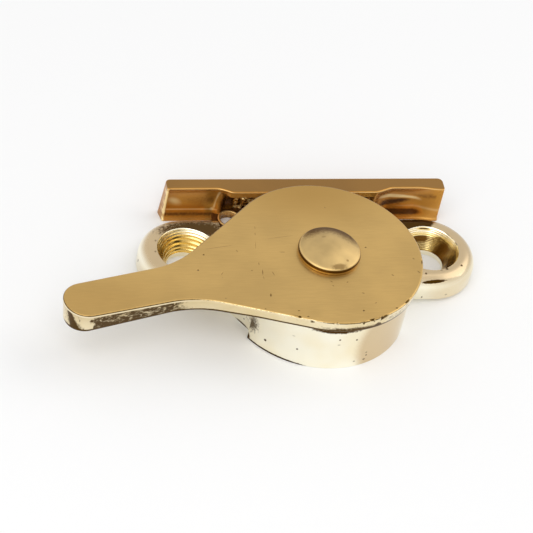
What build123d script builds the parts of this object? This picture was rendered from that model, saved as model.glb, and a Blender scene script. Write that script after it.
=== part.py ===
from build123d import *
import os
from math import atan, cos, degrees, radians, sin, sqrt, tan

os.makedirs("parts", exist_ok=True)

# Cam fastener for a sash window, drawn locked, in millimetres. The origin is midway between
# the base's two screws, on the face that lies on the sash. +X runs along the sash, and +Y
# points at the outer sash and its keep.

# Base casting: a flange with two screw lugs, and a drum that houses the cam
screw_spacing = 40.4
lug_r = 8.0
lug_thick = 4.4
lug_edge_r = 2.2
lug_foot_edge = 0.6
screw_hole_r = 3.1
screw_head_r = 5.15
screw_head_depth = 3.5
pivot_front = 7.8
drum_r = 14.8
drum_wall = 1.8
wall_from = 211.5
wall_to = 365.0
web_step = 0.9
floor_thick = 3.4
boss_r = 6.4
notch_half = 14.0
notch_gap = 0.4

# Lever: disc, handle and spiral cam, cast in one
lever_gap = 0.3
disc_r = 15.9
disc_thick = 2.2
handle_angle = 193.4
handle_reach = 45.5
neck_half = 3.95
tip_half = 3.75
tip_corner_r = 3.2
tip_thick = 4.2
flare_angle = 30.5
flare_r = 16.0
lever_edge = 0.3
draft_angle = 8.0
cam_height = 4.0
cam_wall = 1.35
cam_from = 52.0
cam_to = 108.0
cam_draw = 1.1

# Pivot rivet with its two washers, in a recess under the base
rivet_r = 3.0
rivet_head_r = 5.1
rivet_head_side = 1.15
rivet_dome = 0.95
rivet_rim = 0.3
peen_r = 4.2
peen_height = 0.8
bore_gap = 0.05
washer_r = 5.6
washer_thick = 0.6
spring_thick = 0.5
spring_crown = 0.15
recess_gap = 0.8
underside_gap = 0.25

# Keep casting, on the outer sash
keep_len = 47.6
keep_height = 7.0
keep_shift = 1.3
ledge_end = 2.45
ledge_mid = 3.35
hood_half = 12.0
curve_len = 3.2
sash_gap = 0.5
keep_depth = 5.45
keep_corner_r = 0.8
plate_thick = 1.2
plate_half = 15.0
plate_corner_r = 1.5
keep_hole_spacing = 24.4
keep_hole_r = 1.6
keep_hole_in = 1.9
cove_rim = 0.3
cove_foot = 1.15
cove_head = 0.55
cove_depth = 1.05
cove_r = 0.85
hood_roof = 1.15
hood_wall = 1.0
hood_r = 1.6
hook_half = 3.4
hook_thick = 1.5
hook_gap = 0.35
hook_top_gap = 0.8
arm_thick = 3.0

# Heights and places that follow from the sizes above
screw_x = screw_spacing / 2
pivot = (0, -pivot_front)
drum_in_r = drum_r - drum_wall
web_dist = drum_r - web_step
cam_floor = lug_thick + 2 * lever_gap
disc_under = cam_floor + cam_height
drum_height = disc_under - lever_gap
lever_top = disc_under + disc_thick
peen_top = underside_gap + peen_height
spring_top = peen_top + washer_thick + spring_thick + spring_crown
recess_r = washer_r + recess_gap
cam_out_r = disc_r - disc_thick * tan(radians(draft_angle)) - lever_gap
cam_in_r = cam_out_r - cam_wall
hook_out_r = cam_in_r - cam_draw - hook_gap
hook_in_r = hook_out_r - hook_thick
notch_front_y = sqrt(hook_in_r ** 2 - hook_half ** 2) - notch_gap - pivot_front
notch_depth = lug_r - notch_front_y
plate_front_y = lug_r + sash_gap
keep_back_y = plate_front_y + keep_depth
keep_hole_y = plate_front_y + keep_hole_in
end_front_y = keep_back_y - ledge_end
hood_front_y = keep_back_y - ledge_mid
keep_half = keep_len / 2

pivot_plane = Plane(origin=(*pivot, 0))
pivot_section = Plane.XZ.offset(pivot_front)
pivot_axis = Axis((*pivot, 0), (0, 0, 1))


def at(radius, angle):
    """The point at a radius and an angle in degrees round the pivot."""
    return (radius * cos(radians(angle)), radius * sin(radians(angle)) - pivot_front)


def cam_face(angle):
    """Inner radius of the cam, which closes in from its leading end to its heel."""
    return cam_in_r - cam_draw * (angle - cam_from) / (cam_to - cam_from)


# Where the web's straight flank, square to its radius at wall_from, meets the lug's front
web_foot = at(web_dist, wall_from)
web_end = ((web_dist - (pivot_front - lug_r) * sin(radians(wall_from)))
           / cos(radians(wall_from)), -lug_r)

# Base: flange, web and drum in one casting
with BuildPart() as base:
    with BuildSketch():
        with Locations(pivot):
            Circle(drum_r)
        with BuildLine():
            Polyline(web_foot, at(drum_r + web_step, wall_from),
                     (web_end[0] - web_step, -lug_r), web_end, close=True)
        make_face(mode=Mode.SUBTRACT)
        with BuildLine():
            Polyline(web_foot, web_end, (0, -lug_r), close=True)
        make_face()
        SlotCenterToCenter(screw_spacing, 2 * lug_r)
        with Locations((0, lug_r)):
            Rectangle(2 * notch_half, 2 * notch_depth, mode=Mode.SUBTRACT)
    extrude(amount=lug_thick)
    # The flange's edges are rounded above and bevelled below, except round the notch
    for face, finish, size in ((-1, fillet, lug_edge_r), (0, chamfer, lug_foot_edge)):
        flange_edges = base.faces().sort_by(Axis.Z)[face].outer_wire().edges()
        finish(flange_edges.filter_by(lambda e: abs(e.center().X) > notch_half + notch_gap
                                      or e.center().Y < notch_front_y - notch_gap), size)
    # The cam's room over the floor, and the tall wall round its front and right
    with BuildSketch(pivot_plane.offset(floor_thick)):
        Circle(drum_in_r)
    extrude(amount=disc_under, mode=Mode.SUBTRACT)
    with BuildSketch():
        with BuildLine():
            CenterArc(pivot, drum_r, wall_from, wall_to - wall_from)
            CenterArc(pivot, drum_in_r, wall_from, wall_to - wall_from)
            Line(at(drum_in_r, wall_from), at(drum_r, wall_from))
            Line(at(drum_in_r, wall_to), at(drum_r, wall_to))
        make_face()
    extrude(amount=drum_height)
    # The boss that carries the disc, with the rivet's bore and the recess under it
    with BuildSketch(pivot_plane):
        Circle(boss_r)
    extrude(amount=disc_under)
    with BuildSketch(pivot_plane):
        Circle(recess_r)
    extrude(amount=spring_top, mode=Mode.SUBTRACT)
    with Locations((*pivot, disc_under)):
        Hole(rivet_r + bore_gap, depth=disc_under)
    with Locations((-screw_x, 0, lug_thick), (screw_x, 0, lug_thick)):
        CounterSinkHole(
            screw_hole_r, screw_head_r, depth=2 * lug_thick,
            counter_sink_angle=2 * degrees(atan((screw_head_r - screw_hole_r) / screw_head_depth)))
base.part.label = "base"
export_step(base.part, "parts/base.step")

# Lever: disc, handle and cam in one casting. The handle's frame has its X axis along it.
handle_plane = pivot_plane.offset(lever_top).rotated((0, 0, handle_angle))
side_plane = Plane(handle_plane.origin, x_dir=handle_plane.x_dir, z_dir=-handle_plane.y_dir)
tangent_x = disc_r * sin(radians(flare_angle))
tangent_y = disc_r * cos(radians(flare_angle))
neck_x = tangent_x + (tangent_y - neck_half) / tan(radians(flare_angle))
cam_mid = (cam_from + cam_to) / 2
with BuildPart() as lever:
    with BuildSketch(handle_plane) as outline:
        with BuildLine():
            Polyline((tangent_x, tangent_y), (neck_x, neck_half), (handle_reach, tip_half),
                     (handle_reach, -tip_half), (neck_x, -neck_half), (tangent_x, -tangent_y),
                     close=True)
        make_face()
        fillet(outline.vertices().group_by(Axis.X)[1], flare_r)
        fillet(outline.vertices().group_by(Axis.X)[-1], tip_corner_r)
        Circle(disc_r)
    extrude(amount=-tip_thick, taper=draft_angle)
    # The underside is level under the disc, and falls from there to the tip
    with BuildSketch(side_plane):
        with BuildLine():
            Polyline((-disc_r - lever_edge, -disc_thick), (disc_r + lever_gap, -disc_thick),
                     (handle_reach, -tip_thick), (handle_reach, -2 * tip_thick),
                     (-disc_r - lever_edge, -2 * tip_thick), close=True)
        make_face()
    extrude(amount=disc_r + lever_edge, both=True, mode=Mode.SUBTRACT)
    chamfer(lever.faces().sort_by(Axis.Z)[-1].outer_wire().edges(), lever_edge)
    # The cam is round outside. Inside it closes in, so that it draws the keep nearer.
    with BuildSketch(Plane.XY.offset(cam_floor)):
        with BuildLine():
            CenterArc(pivot, cam_out_r, cam_from, cam_to - cam_from)
            ThreePointArc(at(cam_face(cam_from), cam_from), at(cam_face(cam_mid), cam_mid),
                          at(cam_face(cam_to), cam_to))
            Line(at(cam_face(cam_from), cam_from), at(cam_out_r, cam_from))
            Line(at(cam_face(cam_to), cam_to), at(cam_out_r, cam_to))
        make_face()
    extrude(amount=cam_height)
    with Locations((*pivot, lever_top)):
        Hole(rivet_r + bore_gap, depth=lever_top)
lever.part.label = "lever"
export_step(lever.part, "parts/lever.step")

# Pivot rivet: domed head on the lever, shank, and the end peened over the washers
head_top = lever_top + rivet_head_side
with BuildPart() as pivot_rivet:
    with BuildSketch(pivot_section) as rivet_section:
        with BuildLine():
            Line((0, head_top + rivet_dome), (0, underside_gap))
            TangentArc((0, underside_gap), (peen_r, peen_top), tangent=(1, 0))
            Polyline((peen_r, peen_top), (rivet_r, peen_top), (rivet_r, lever_top),
                     (rivet_head_r, lever_top), (rivet_head_r, head_top))
            TangentArc((0, head_top + rivet_dome), (rivet_head_r, head_top), tangent=(1, 0))
        make_face()
        chamfer(rivet_section.vertices().group_by(Axis.X)[-1].sort_by(Axis.Y)[-1], rivet_rim)
    revolve(axis=pivot_axis)
pivot_rivet.part.label = "pivot_rivet"
export_step(pivot_rivet.part, "parts/pivot_rivet.step")

# Flat washer that the rivet is peened over
with BuildPart() as plain_washer:
    with BuildSketch(pivot_plane.offset(peen_top)):
        Circle(washer_r)
        Circle(rivet_r + bore_gap, mode=Mode.SUBTRACT)
    extrude(amount=washer_thick)
plain_washer.part.label = "plain_washer"
export_step(plain_washer.part, "parts/plain_washer.step")

# Spring washer: a shallow cone that keeps the lever stiff, between the flat one and the base
spring_foot = peen_top + washer_thick
with BuildPart() as spring_washer:
    with BuildSketch(pivot_section):
        with BuildLine():
            Polyline((washer_r, spring_foot), (washer_r, spring_foot + spring_thick),
                     (rivet_r + bore_gap, spring_top),
                     (rivet_r + bore_gap, spring_top - spring_thick), close=True)
        make_face()
    revolve(axis=pivot_axis)
spring_washer.part.label = "spring_washer"
export_step(spring_washer.part, "parts/spring_washer.step")

# Keep: a wall whose top widens to a hood in the middle, a plate in front of its foot, and a
# hook that reaches under the lever's disc to the cam
cove_len = keep_half - hood_half - curve_len - cove_rim
with BuildPart() as keep:
    with BuildSketch():
        with BuildLine():
            Polyline((keep_shift - hood_half, hood_front_y), (keep_shift + hood_half, hood_front_y))
            for side in (-1, 1):
                Spline((keep_shift + side * hood_half, hood_front_y),
                       (keep_shift + side * (hood_half + curve_len), end_front_y),
                       tangents=((side, 0), (side, 0)))
                Line((keep_shift + side * (hood_half + curve_len), end_front_y),
                     (keep_shift + side * keep_half, end_front_y))
                Line((keep_shift + side * keep_half, end_front_y),
                     (keep_shift + side * keep_half, keep_back_y))
            Line((keep_shift - keep_half, keep_back_y), (keep_shift + keep_half, keep_back_y))
        make_face()
    extrude(amount=keep_height)
    end_corners = keep.edges().filter_by(Axis.Z).group_by(Axis.X)
    fillet(end_corners[0] + end_corners[-1], keep_corner_r)
    # The hollow under the hood
    with BuildSketch(Plane.YZ.offset(keep_shift)) as hollow:
        with BuildLine():
            Polyline((keep_back_y - hood_wall, 0), (keep_back_y - hood_wall, keep_height - hood_roof),
                     (hood_front_y - sash_gap, keep_height - hood_roof),
                     (hood_front_y - sash_gap, 0), close=True)
        make_face()
        fillet(hollow.vertices().group_by(Axis.Y)[-1].sort_by(Axis.X)[-1], hood_r)
    extrude(amount=hood_half, both=True, mode=Mode.SUBTRACT)
    # A cove along the front at each end
    for side in (-1, 1):
        cove_x = keep_shift + side * (keep_half - cove_rim - cove_len / 2)
        with BuildSketch(Plane.XZ.offset(-end_front_y)) as cove:
            with Locations((cove_x, (keep_height - cove_head + cove_foot) / 2)):
                RectangleRounded(cove_len, keep_height - cove_head - cove_foot, cove_r)
        extrude(amount=-cove_depth, mode=Mode.SUBTRACT)
    with BuildSketch():
        with Locations((keep_shift, (plate_front_y + keep_back_y) / 2)):
            RectangleRounded(2 * plate_half, keep_depth, plate_corner_r)
    extrude(amount=plate_thick)
    # The hook: an arm over the sash's edge, with its end turned up inside the cam
    for hook_reach, hook_height in ((keep_back_y - hood_wall / 2 + pivot_front, arm_thick),
                                    (hook_out_r, disc_under - hook_top_gap)):
        with BuildSketch(pivot_plane):
            Circle(hook_reach)
            Circle(hook_in_r, mode=Mode.SUBTRACT)
            Rectangle(2 * hook_half, 2 * hook_reach, mode=Mode.INTERSECT)
            with Locations((0, -hook_reach)):
                Rectangle(2 * hook_reach, 2 * hook_reach, mode=Mode.SUBTRACT)
        extrude(amount=hook_height)
    with Locations((keep_shift - keep_hole_spacing / 2, keep_hole_y, plate_thick),
                   (keep_shift + keep_hole_spacing / 2, keep_hole_y, plate_thick)):
        Hole(keep_hole_r, depth=plate_thick)
keep.part.label = "keep"
export_step(keep.part, "parts/keep.step")
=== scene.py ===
"""Looks of a brass cam fastener for a sash window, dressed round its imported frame, in metres."""

import logging
from dataclasses import dataclass, field
from enum import Enum

import bmesh
import bpy
import numpy as np
from mathutils import Matrix, Vector

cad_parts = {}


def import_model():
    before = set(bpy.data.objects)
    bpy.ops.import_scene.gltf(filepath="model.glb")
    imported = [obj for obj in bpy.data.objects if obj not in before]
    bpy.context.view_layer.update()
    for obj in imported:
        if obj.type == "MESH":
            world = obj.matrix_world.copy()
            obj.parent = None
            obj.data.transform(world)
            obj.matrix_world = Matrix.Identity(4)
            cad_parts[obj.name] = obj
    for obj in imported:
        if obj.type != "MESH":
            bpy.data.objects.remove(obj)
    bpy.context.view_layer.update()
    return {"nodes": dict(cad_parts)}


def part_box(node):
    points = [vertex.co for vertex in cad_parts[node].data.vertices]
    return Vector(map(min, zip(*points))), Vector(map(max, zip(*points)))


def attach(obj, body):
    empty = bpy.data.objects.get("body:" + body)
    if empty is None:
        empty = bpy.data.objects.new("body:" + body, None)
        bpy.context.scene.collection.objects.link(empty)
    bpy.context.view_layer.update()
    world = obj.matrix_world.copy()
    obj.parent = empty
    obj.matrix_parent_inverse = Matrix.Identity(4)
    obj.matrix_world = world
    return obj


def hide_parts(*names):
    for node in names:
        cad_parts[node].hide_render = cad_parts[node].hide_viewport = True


Span = tuple[float, float]
Triple = tuple[float, float, float]
Materials = dict[str, bpy.types.Material]

log = logging.getLogger("window_lock")
MM = 0.001
WELD = 0.002 * MM
WHITE = (1.0, 1.0, 1.0, 1.0)


def linear(red: float, green: float, blue: float) -> tuple[float, float, float, float]:
    """Turns a screen colour of 0 to 255 into the linear colour that shaders take.

    Args:
        red: Red channel, 0 to 255.
        green: Green channel, 0 to 255.
        blue: Blue channel, 0 to 255.

    Returns:
        Linear red, green and blue, and an alpha of 1.
    """
    screen = np.array([red, green, blue]) / 255
    values = np.where(screen <= 0.04045, screen / 12.92, ((screen + 0.055) / 1.055) ** 2.4)
    return (*(float(v) for v in values), 1.0)


def smooth(value: np.ndarray, low: float, high: float) -> np.ndarray:
    """Rises from 0 at low to 1 at high with level ends: 3t squared less 2t cubed, t the held share.

    Args:
        value: Numbers to map.
        low: Number that gives 0.
        high: Number that gives 1.

    Returns:
        The mapped numbers.
    """
    share = np.clip((value - low) / (high - low), 0.0, 1.0)
    return share * share * (3 - 2 * share)


def between(value: np.ndarray, rise: Span, fall: Span) -> np.ndarray:
    """Rises smoothly from 0 to 1 over one span of numbers, and falls back to 0 over a later one."""
    return smooth(value, *rise) * (1 - smooth(value, *fall))


def bell(distance: np.ndarray, half: float | np.ndarray, power: int = 2) -> np.ndarray:
    """A hump of height 1: e to the minus power of the distance over the half width."""
    return np.exp(-np.abs(distance / half) ** power)


def value_noise(points: np.ndarray, size: float, seed: int = 0) -> np.ndarray:
    """Smooth noise from -1 to 1: random numbers at the corners of cubes, blended smoothly inside them.

    Args:
        points: Array of points, the last axis x, y and z.
        size: Edge of the cubes, in the points' units.
        seed: Picks another pattern.

    Returns:
        One number for each point.
    """
    scaled = points / size
    cell = np.floor(scaled).astype(np.int64)
    part = scaled - cell
    part = part * part * (3 - 2 * part)
    total = np.zeros(points.shape[:-1])
    for corner in np.ndindex(2, 2, 2):
        at = cell + np.array(corner)
        mixed = at[..., 0] * 73856093 ^ at[..., 1] * 19349663 ^ at[..., 2] * 83492791 ^ (seed * 2654435761)
        mixed = (mixed ^ (mixed >> 13)) * 1274126177 & 0x7FFFFFFF
        mixed = (mixed ^ (mixed >> 16)) & 0xFFFF
        weight = np.prod(np.where(corner, part, 1 - part), axis=-1)
        total += weight * (mixed / 32767.5 - 1)
    return total


def rough_noise(points: np.ndarray, size: float, layers: int = 3, seed: int = 0) -> np.ndarray:
    """Sum of noises, each half the size and half the strength of the one before.

    Args:
        points: Array of points, the last axis x, y and z.
        size: Cube edge of the coarsest noise.
        layers: Number of noises.
        seed: Picks another pattern.

    Returns:
        One number for each point.
    """
    return sum(value_noise(points, size / 2 ** k, seed + k) / 2 ** k for k in range(layers))


def turn_about(points: np.ndarray, centre: tuple[float, float], degrees: float) -> np.ndarray:
    """Turns plan points round the origin and moves them to a centre.

    Args:
        points: Array of plan points.
        centre: Where the origin goes.
        degrees: Turn, counterclockwise.

    Returns:
        The turned points.
    """
    angle = np.radians(degrees)
    turn = np.array([[np.cos(angle), np.sin(angle)], [-np.sin(angle), np.cos(angle)]])
    return points @ turn + np.array(centre)


def revolved(centre: Span, radii: np.ndarray, angles: np.ndarray, heights: np.ndarray) -> np.ndarray:
    """Points round an upright axis: the centre plus the radius times the bearing's cosine and sine.

    Args:
        centre: Plan place of the axis.
        radii: Distances from the axis.
        angles: Bearings in radians.
        heights: Heights of the points.

    Returns:
        The points.
    """
    across = centre[0] + radii * np.cos(angles)
    away = centre[1] + radii * np.sin(angles)
    return np.stack(np.broadcast_arrays(across, away, heights), -1)


def corner_arc(before: tuple, corner: tuple, after: tuple, radius: float, steps: int = 40) -> np.ndarray:
    """The arc that rounds a corner and touches both of its sides.

    The centre lies on the bisector, the radius over the sine of half the corner's angle from it.

    Args:
        before: Point before the corner.
        corner: The corner.
        after: Point after it.
        radius: Radius of the arc.
        steps: Number of points.

    Returns:
        The arc's plan points in order.
    """
    here = np.array(corner, float)
    inward = np.array(before) - here
    onward = np.array(after) - here
    inward /= np.linalg.norm(inward)
    onward /= np.linalg.norm(onward)
    half = np.arccos(np.clip(inward @ onward, -1, 1)) / 2
    bisector = (inward + onward) / np.linalg.norm(inward + onward)
    centre = here + bisector * radius / np.sin(half)
    reach = radius / np.tan(half)
    first = here + inward * reach - centre
    last = here + onward * reach - centre
    start = np.arctan2(first[1], first[0])
    sweep = np.arctan2(first[0] * last[1] - first[1] * last[0], first @ last)
    angles = start + sweep * np.linspace(0, 1, steps)
    return centre + radius * np.stack([np.cos(angles), np.sin(angles)], -1)


def even_loop(points: np.ndarray, count: int) -> np.ndarray:
    """Points at even steps along a closed path.

    Args:
        points: The path's plan points, the first not repeated.
        count: Number of points wanted.

    Returns:
        The evenly spaced points.
    """
    ring = np.vstack([points, points[:1]])
    length = np.concatenate([[0], np.cumsum(np.linalg.norm(np.diff(ring, axis=0), axis=1))])
    wanted = np.linspace(0, length[-1], count, endpoint=False)
    return np.stack([np.interp(wanted, length, ring[:, k]) for k in range(2)], -1)


def outward(loop: np.ndarray) -> np.ndarray:
    """Outward unit normals of a counterclockwise loop: its tangents turned a quarter to the right.

    Args:
        loop: Plan points of the loop.

    Returns:
        One unit vector for each point.
    """
    along = np.roll(loop, -1, axis=0) - np.roll(loop, 1, axis=0)
    along /= np.linalg.norm(along, axis=1, keepdims=True)
    return np.stack([along[:, 1], -along[:, 0]], -1)


def eased(count: int) -> np.ndarray:
    """Numbers from 0 to 1 that crowd towards both ends: half of one less the cosine of an even angle."""
    return (1 - np.cos(np.pi * np.linspace(0, 1, count))) / 2


@dataclass
class Shell:
    """A mesh that is put together from grids of points in millimetres, and welded where they meet."""

    name: str
    points: list[np.ndarray] = field(default_factory=list)
    painted_light_and_wear: list[np.ndarray] = field(default_factory=list)
    quads: list[np.ndarray] = field(default_factory=list)
    total: int = 0

    def add(self, grid: np.ndarray, wrap: tuple[bool, bool] = (False, False),
            painted_light_and_wear: np.ndarray | None = None) -> None:
        """Adds one grid of points, whose neighbours in rows and columns form four-sided faces.

        Args:
            grid: Points, with rows and columns as the first two axes.
            wrap: Whether the last row, and the last column, joins the first.
            painted_light_and_wear: Tone of each point, from -1 for rubbed places and painted highlights
                to 1 for stains and painted shade.
        """
        rows, columns = grid.shape[:2]
        index = self.total + np.arange(rows * columns).reshape(rows, columns)
        for axis, closed in enumerate(wrap):
            if closed:
                index = np.concatenate([index, index.take([0], axis=axis)], axis=axis)
        quads = np.stack([index[:-1, :-1], index[:-1, 1:], index[1:, 1:], index[1:, :-1]], -1)
        self.quads.append(quads.reshape(-1, 4))
        self.points.append(grid.reshape(-1, 3))
        self.painted_light_and_wear.append(np.zeros(rows * columns) if painted_light_and_wear is None else painted_light_and_wear.reshape(-1))
        self.total += rows * columns

    def close(self, loop: np.ndarray, tone: float = 0.0, pairs: int | None = None) -> None:
        """Closes a loop by a strip: each point of its first half joins its partner from the other end.

        Args:
            loop: The loop's points, an even number of them.
            tone: Tone of the strip.
            pairs: How many pairs are joined, where it isn't all of them.
        """
        half = pairs or len(loop) // 2
        self.add(np.stack([loop[:half], loop[::-1][:half]], 1), painted_light_and_wear=np.full((half, 2), tone))

    def make(self, body: str, material: bpy.types.Material, slot: str, *replaced: str) -> None:
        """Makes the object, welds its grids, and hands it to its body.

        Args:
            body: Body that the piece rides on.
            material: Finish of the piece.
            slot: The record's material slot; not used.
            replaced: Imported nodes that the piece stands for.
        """
        mesh = bpy.data.meshes.new(self.name)
        points = np.concatenate(self.points) * MM
        quads = np.concatenate(self.quads)
        mesh.vertices.add(len(points))
        mesh.vertices.foreach_set("co", points.astype(np.float32).ravel())
        mesh.loops.add(quads.size)
        mesh.loops.foreach_set("vertex_index", quads.astype(np.int32).ravel())
        mesh.polygons.add(len(quads))
        mesh.polygons.foreach_set("loop_start", np.arange(0, quads.size, 4, dtype=np.int32))
        tone = mesh.attributes.new("tone", "FLOAT", "POINT")
        tone.data.foreach_set("value", np.concatenate(self.painted_light_and_wear).astype(np.float32))
        mesh.update(calc_edges=True)
        shape = bmesh.new()
        shape.from_mesh(mesh)
        bmesh.ops.remove_doubles(shape, verts=shape.verts, dist=WELD)
        bmesh.ops.recalc_face_normals(shape, faces=shape.faces)
        shape.to_mesh(mesh)
        shape.free()
        mesh.polygons.foreach_set("use_smooth", np.ones(len(mesh.polygons), bool))
        mesh.materials.append(material)
        piece = bpy.data.objects.new(self.name, mesh)
        bpy.context.scene.collection.objects.link(piece)
        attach(piece, body)
        if replaced:
            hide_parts(*replaced)
        log.info("%s: %d faces on %s", self.name, len(mesh.polygons), body)


@dataclass
class Lever:
    """The lever casting: a disc with a flared handle, and the cam under it. Sizes in millimetres.

    A flaw of the edge is a bearing in the handle's frame and a half width, both in degrees, and a
    strength. The spans of the painted reflections on the side run along the handle, down the side from
    the top, or in degrees round the disc.
    """

    pivot: Span = (0.0, -7.8)
    disc_r: float = 15.9
    disc_thick: float = 2.2
    handle_angle: float = 193.4
    handle_reach: float = 45.5
    neck_half: float = 3.95
    tip_half: float = 3.75
    tip_corner_r: float = 3.7
    tip_thick: float = 4.2
    flare_angle: float = 30.5
    flare_r: float = 16.0
    edge_r: float = 0.35
    under_edge_r: float = 0.3
    draft_angle: float = 8.0
    bore_r: float = 3.05
    slope_from: float = 16.2
    cam_wall: float = 1.35
    cam_draw: float = 1.1
    cam_from: float = 52.0
    cam_to: float = 108.0
    cam_out_r: float = 15.29
    cam_edge_r: float = 0.35
    cam_root: float = 0.05
    knock_in: float = 0.34
    knock_down: float = 0.25
    knock_reach: float = 0.75
    ripple: float = 0.012
    flaws: tuple[Triple, ...] = ((123.6, 3.2, 1.3), (112.0, 0.9, 1.3), (102.5, 3.0, 1.3),
                                 (93.2, 1.2, 1.3), (88.0, 1.6, 0.7), (160.0, 5.0, 0.45), (60.0, 22.0, 0.28))
    side_top: Span = (0.44, 0.56)
    skin_reflection_from: Span = (25.9, 28.2)
    skin_reflection_to: Span = (42.2, 43.0)
    tip_from: Span = (42.6, 43.4)
    handle_from: Span = (23.0, 28.0)
    front_from: Span = (56.0, 74.0)
    front_to: Span = (99.0, 104.0)
    roll_from: Span = (97.0, 106.0)
    roll_to: Span = (140.0, 165.0)
    steps: int = 900
    arc_steps: int = 400
    upper_steps: int = 16
    wall_steps: int = 18
    lower_steps: int = 7
    fill_steps: int = 14
    cam_steps: int = 60

    def outline(self) -> np.ndarray:
        """The lever's outline in the handle's own frame, its X axis along the handle.

        Returns:
            Evenly spaced plan points, counterclockwise.
        """
        flare = np.radians(self.flare_angle)
        touch = np.array([np.sin(flare), np.cos(flare)]) * self.disc_r
        neck = (touch[0] + (touch[1] - self.neck_half) / np.tan(flare), self.neck_half)
        tip = (self.handle_reach, self.tip_half)
        low = [(x, -y) for x, y in (tip, neck, tuple(touch))]
        angles = np.linspace(np.pi / 2 - flare, 3 * np.pi / 2 + flare, self.arc_steps)
        disc = self.disc_r * np.stack([np.cos(angles), np.sin(angles)], -1)
        arcs = [disc,
                corner_arc(low[2], low[1], low[0], self.flare_r),
                corner_arc(low[1], low[0], tip, self.tip_corner_r),
                corner_arc(low[0], tip, neck, self.tip_corner_r),
                corner_arc(tip, neck, tuple(touch), self.flare_r)]
        return even_loop(np.concatenate(arcs), self.steps)

    def depth(self, along: np.ndarray) -> np.ndarray:
        """Thickness along the handle: level under the disc, then a straight growth to the tip."""
        share = np.clip((along - self.slope_from) / (self.handle_reach - self.slope_from), 0, 1)
        return self.disc_thick + (self.tip_thick - self.disc_thick) * share

    def skirt(self, loop: np.ndarray) -> tuple[np.ndarray, np.ndarray]:
        """The edge's section carried round the outline.

        The section is a quarter round under the top, a wall that leans in by the draft, and a quarter
        round above the underside. It gives the inset and the depth at each step down.

        Args:
            loop: The outline.

        Returns:
            Insets and depths, one row for each step of the section.
        """
        lean = np.radians(self.draft_angle)
        thick = self.depth(loop[:, 0])
        inset = self.edge_r * (1 + np.sin(lean)) / np.cos(lean)
        upper = np.linspace(np.pi / 2, -lean, self.upper_steps)[:, None]
        insets = [inset - self.edge_r * np.cos(upper) + 0 * thick]
        depths = [self.edge_r - self.edge_r * np.sin(upper) + 0 * thick]
        low_inset = thick * np.tan(lean) + self.under_edge_r * (1 - np.sin(lean)) / np.cos(lean)
        lower = np.linspace(-lean, -np.pi / 2, self.lower_steps)[:, None]
        low_insets = low_inset - self.under_edge_r * np.cos(lower)
        low_depths = thick - self.under_edge_r - self.under_edge_r * np.sin(lower)
        share = np.linspace(0, 1, self.wall_steps)[1:-1, None]
        insets += [insets[0][-1] + (low_insets[0] - insets[0][-1]) * share, low_insets]
        depths += [depths[0][-1] + (low_depths[0] - depths[0][-1]) * share, low_depths]
        return np.concatenate(insets), np.concatenate(depths)

    def place(self, plan: np.ndarray, height: np.ndarray) -> np.ndarray:
        """Joins plan points of the handle's frame with heights, and sets them on the pivot."""
        turned = turn_about(plan, self.pivot, self.handle_angle)
        return np.concatenate([turned, height[..., None]], -1)

    def build(self, materials: Materials) -> None:
        """Builds the casting as one welded piece.

        Args:
            materials: Finishes by node name.
        """
        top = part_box("lever")[1].z / MM
        shell = Shell("lever_casting")
        loop = self.outline()
        insets, depths = self.skirt(loop)
        plan = loop - outward(loop) * insets[..., None]
        points, grime_and_shade = self.knock(self.place(plan, top - depths), plan, depths)
        flank = self.flank(plan, depths, self.depth(loop[:, 0]))
        # Tone of the side: darkening in the knocks, and elsewhere painted reflections with cast mottle.
        shell.add(points, (False, True), painted_light_and_wear=np.where(grime_and_shade > 0.05, grime_and_shade, flank))
        share = eased(self.fill_steps)[:, None, None]
        for ring, below in ((plan[0], 0), (plan[-1], 1)):
            bore = ring / np.linalg.norm(ring, axis=1, keepdims=True) * self.bore_r
            fill = ring + (bore - ring) * share
            shell.add(self.place(fill, top - below * self.depth(fill[..., 0])), (False, True))
        bore = plan[0] / np.linalg.norm(plan[0], axis=1, keepdims=True) * self.bore_r
        drop = np.repeat([[0.0], [self.disc_thick]], self.steps, axis=1)
        shell.add(self.place(np.stack([bore, bore]), top - drop), (False, True))
        self.add_cam(shell, top - self.disc_thick)
        shell.make("lever", materials["lever"], "satin_brass", "lever")

    def knock(self, points: np.ndarray, plan: np.ndarray,
              depths: np.ndarray) -> tuple[np.ndarray, np.ndarray]:
        """Knocks and casting flaws along the edge: noise that only cuts inwards, near the flaws' bearings.

        Args:
            points: The skirt's points.
            plan: Their plan points in the handle's frame.
            depths: Their depths.

        Returns:
            The knocked points, and how much the knocks darken them.
        """
        bearing = np.degrees(np.arctan2(plan[..., 1], plan[..., 0])) % 360
        near = np.maximum.reduce([strength * bell(bearing - at, half) for at, half, strength in self.flaws])
        crumbs = np.clip(rough_noise(points, 0.9, 3, 5) * 1.2 - 0.15, 0, 1)
        cut = near * crumbs * bell(depths, self.knock_reach)
        inward = np.array([*self.pivot, 0.0]) - points
        inward[..., 2] = 0
        inward /= np.linalg.norm(inward, axis=-1, keepdims=True)
        ripple = self.ripple * (1 + value_noise(points, 2.4, 8) * smooth(depths, 0.0, 0.4))
        points = points + inward * (self.knock_in * cut + ripple)[..., None]
        points[..., 2] -= self.knock_down * cut * (depths < self.edge_r)
        return points, np.clip(5.0 * cut, 0, 1.5)

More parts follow.
